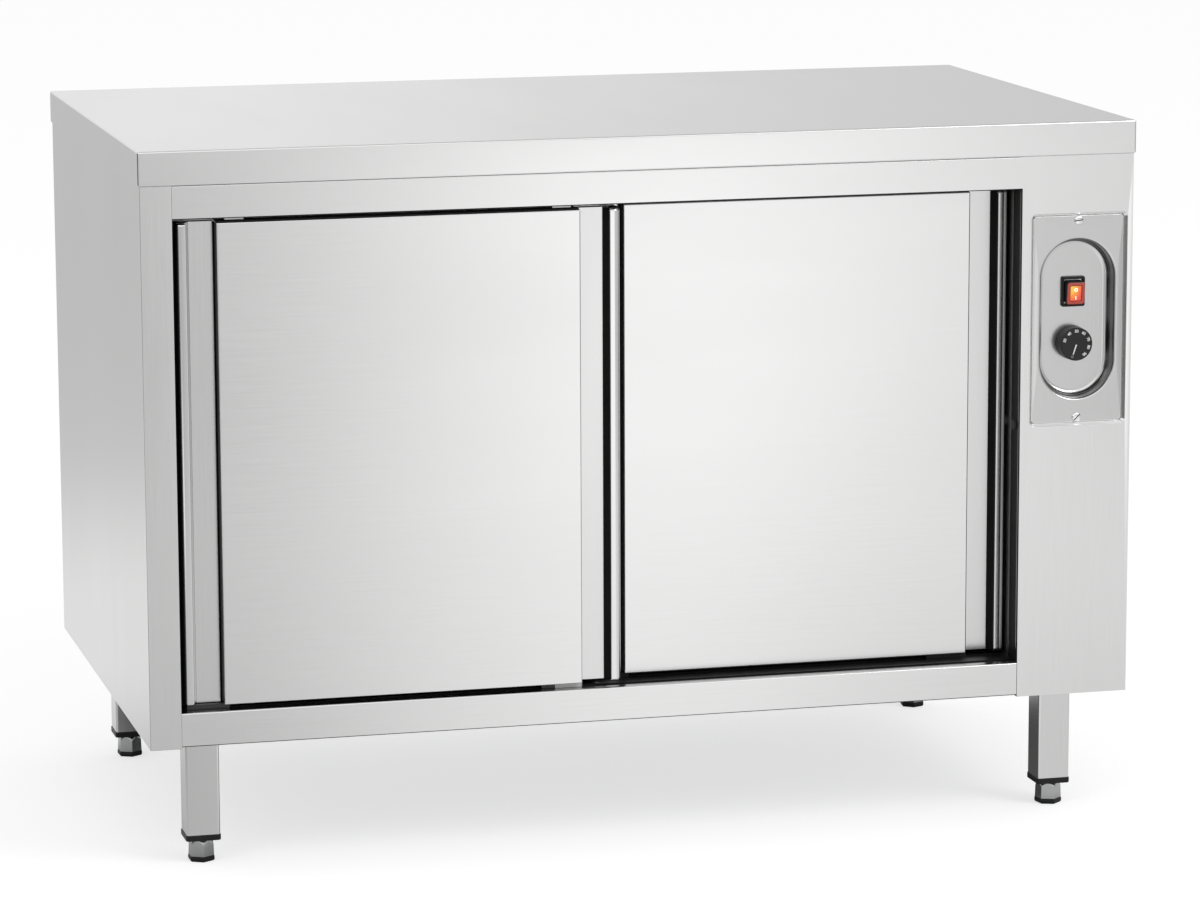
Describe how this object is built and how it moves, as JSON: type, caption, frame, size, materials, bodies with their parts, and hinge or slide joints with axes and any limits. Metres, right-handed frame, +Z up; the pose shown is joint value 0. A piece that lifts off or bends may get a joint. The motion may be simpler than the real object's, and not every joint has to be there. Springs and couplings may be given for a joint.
{
  "type": "plate warmer cabinet",
  "caption": "Heated stainless steel plate cabinet with overlapping sliding doors, a recessed control column and square legs on screw feet.",
  "frame": {"origin": "on the floor, under the middle of the worktop", "axes": "+X to the right along the worktop seen from the front, +Y to the back, +Z up"},
  "size_m": [1.2, 0.7, 0.85],
  "materials": {
    "steel_top": "brushed stainless steel, grain front to back",
    "steel_body": "brushed stainless steel",
    "steel_doors": "brushed stainless steel, grain along the door",
    "steel_plate": "satin stainless steel, deep drawn",
    "steel_legs": "satin stainless steel tube",
    "galvanized": "galvanized sheet",
    "screw_steel": "bright zinc plated",
    "foot_metal": "dark zinc plated over a black glide",
    "aluminium": "mill finish",
    "element_steel": "heat stained",
    "motor_paint": "black enamel",
    "black_plastic": "fine grain",
    "knob_plastic": "fine grain with white printed numbers",
    "black_nylon": "smooth moulded nylon",
    "white_nylon": "smooth moulded nylon",
    "white_plastic": "smooth",
    "phenolic": "moulded",
    "red_lens": "translucent red",
    "wire_insulation": "silicone insulation",
    "copper": "plain copper capillary",
    "rubber": "matt",
    "mineral_wool": "pressed mineral wool"
  },
  "bodies": {
    "cabinet": {"worktop": "steel_top", "worktop_stiffeners": "galvanized", "side_panel_left": "steel_body", "side_panel_right": "steel_body", "control_column": "steel_body", "back_panel": "steel_body", "back_screws": "screw_steel", "base_panel": "galvanized", "top_rail": "steel_body", "bottom_rail": "steel_body", "inner_floor": "steel_body", "liner_left": "steel_body", "liner_back": "steel_body", "liner_top": "steel_body", "partition_wall": "steel_body", "insulation_panels": "mineral_wool", "upper_track": "galvanized", "lower_guide": "black_nylon", "door_buffers": "rubber", "mid_shelf": "steel_body", "shelf_supports": "galvanized", "heater_housing": "galvanized", "fan_motor": "motor_paint", "heating_element": "element_steel", "air_grille": "steel_body", "control_plate": "steel_plate", "control_screws": "screw_steel", "switch_body": "black_plastic", "thermostat_body": "phenolic", "sensor_tube": "copper", "terminal_block": "white_plastic", "cable_gland": "black_nylon", "wiring_loom": "wire_insulation", "legs": "steel_legs", "leg_bolts": "screw_steel", "leg_caps": "black_plastic"},
    "left_door": {"door_left_panel": "steel_doors", "door_left_back": "steel_doors", "door_left_core": "mineral_wool", "door_left_handles": "steel_doors", "door_left_hangers": "galvanized", "door_left_guides": "white_nylon"},
    "right_door": {"door_right_panel": "steel_doors", "door_right_back": "steel_doors", "door_right_core": "mineral_wool", "door_right_handles": "steel_doors", "door_right_hangers": "galvanized", "door_right_guides": "white_nylon"},
    "left_roller_a": {"roller_left_a": "black_nylon"},
    "left_roller_b": {"roller_left_b": "black_nylon"},
    "right_roller_a": {"roller_right_a": "black_nylon"},
    "right_roller_b": {"roller_right_b": "black_nylon"},
    "knob": {"thermostat_knob": "knob_plastic", "thermostat_spindle": "screw_steel"},
    "rocker": {"switch_rocker": "red_lens"},
    "fan": {"fan_impeller": "aluminium"},
    "foot_front_left": {"foot_front_left": "foot_metal"},
    "foot_back_left": {"foot_back_left": "foot_metal"},
    "foot_front_right": {"foot_front_right": "foot_metal"},
    "foot_back_right": {"foot_back_right": "foot_metal"}
  },
  "joints": [
    {"name": "left_door_slide", "type": "slide", "parent": "cabinet", "child": "left_door", "axis": [1, 0, 0], "range_m": [0, 0.487]},
    {"name": "right_door_slide", "type": "slide", "parent": "cabinet", "child": "right_door", "axis": [1, 0, 0], "range_m": [-0.487, 0]},
    {"name": "left_roller_a_spin", "type": "hinge", "parent": "left_door", "child": "left_roller_a", "pos_m": [-0.488, -0.329, 0.7848], "axis": [0, 1, 0], "continuous": true},
    {"name": "left_roller_b_spin", "type": "hinge", "parent": "left_door", "child": "left_roller_b", "pos_m": [-0.10275, -0.329, 0.7848], "axis": [0, 1, 0], "continuous": true},
    {"name": "right_roller_a_spin", "type": "hinge", "parent": "right_door", "child": "right_roller_a", "pos_m": [0.00025, -0.295, 0.7848], "axis": [0, 1, 0], "continuous": true},
    {"name": "right_roller_b_spin", "type": "hinge", "parent": "right_door", "child": "right_roller_b", "pos_m": [0.3855, -0.295, 0.7848], "axis": [0, 1, 0], "continuous": true},
    {"name": "thermostat_turn", "type": "hinge", "parent": "cabinet", "child": "knob", "pos_m": [0.53075, -0.326, 0.5815], "axis": [0, 1, 0], "range_deg": [0, 267]},
    {"name": "switch_rock", "type": "hinge", "parent": "cabinet", "child": "rocker", "pos_m": [0.53075, -0.326, 0.6435], "axis": [1, 0, 0], "range_deg": [-12, 0]},
    {"name": "fan_spin", "type": "hinge", "parent": "cabinet", "child": "fan", "pos_m": [0.5, 0.06208, 0.436], "axis": [1, 0, 0], "continuous": true},
    {"name": "foot_front_left_screw", "type": "slide", "parent": "cabinet", "child": "foot_front_left", "axis": [0, 0, -1], "range_m": [0, 0.02]},
    {"name": "foot_back_left_screw", "type": "slide", "parent": "cabinet", "child": "foot_back_left", "axis": [0, 0, -1], "range_m": [0, 0.02]},
    {"name": "foot_front_right_screw", "type": "slide", "parent": "cabinet", "child": "foot_front_right", "axis": [0, 0, -1], "range_m": [0, 0.02]},
    {"name": "foot_back_right_screw", "type": "slide", "parent": "cabinet", "child": "foot_back_right", "axis": [0, 0, -1], "range_m": [0, 0.02]}
  ],
  "couplings": [
    {"joint": "left_roller_a_spin", "follows": "left_door_slide", "rad_per_m": 100},
    {"joint": "left_roller_b_spin", "follows": "left_door_slide", "rad_per_m": 100},
    {"joint": "right_roller_a_spin", "follows": "right_door_slide", "rad_per_m": 100},
    {"joint": "right_roller_b_spin", "follows": "right_door_slide", "rad_per_m": 100}
  ]
}
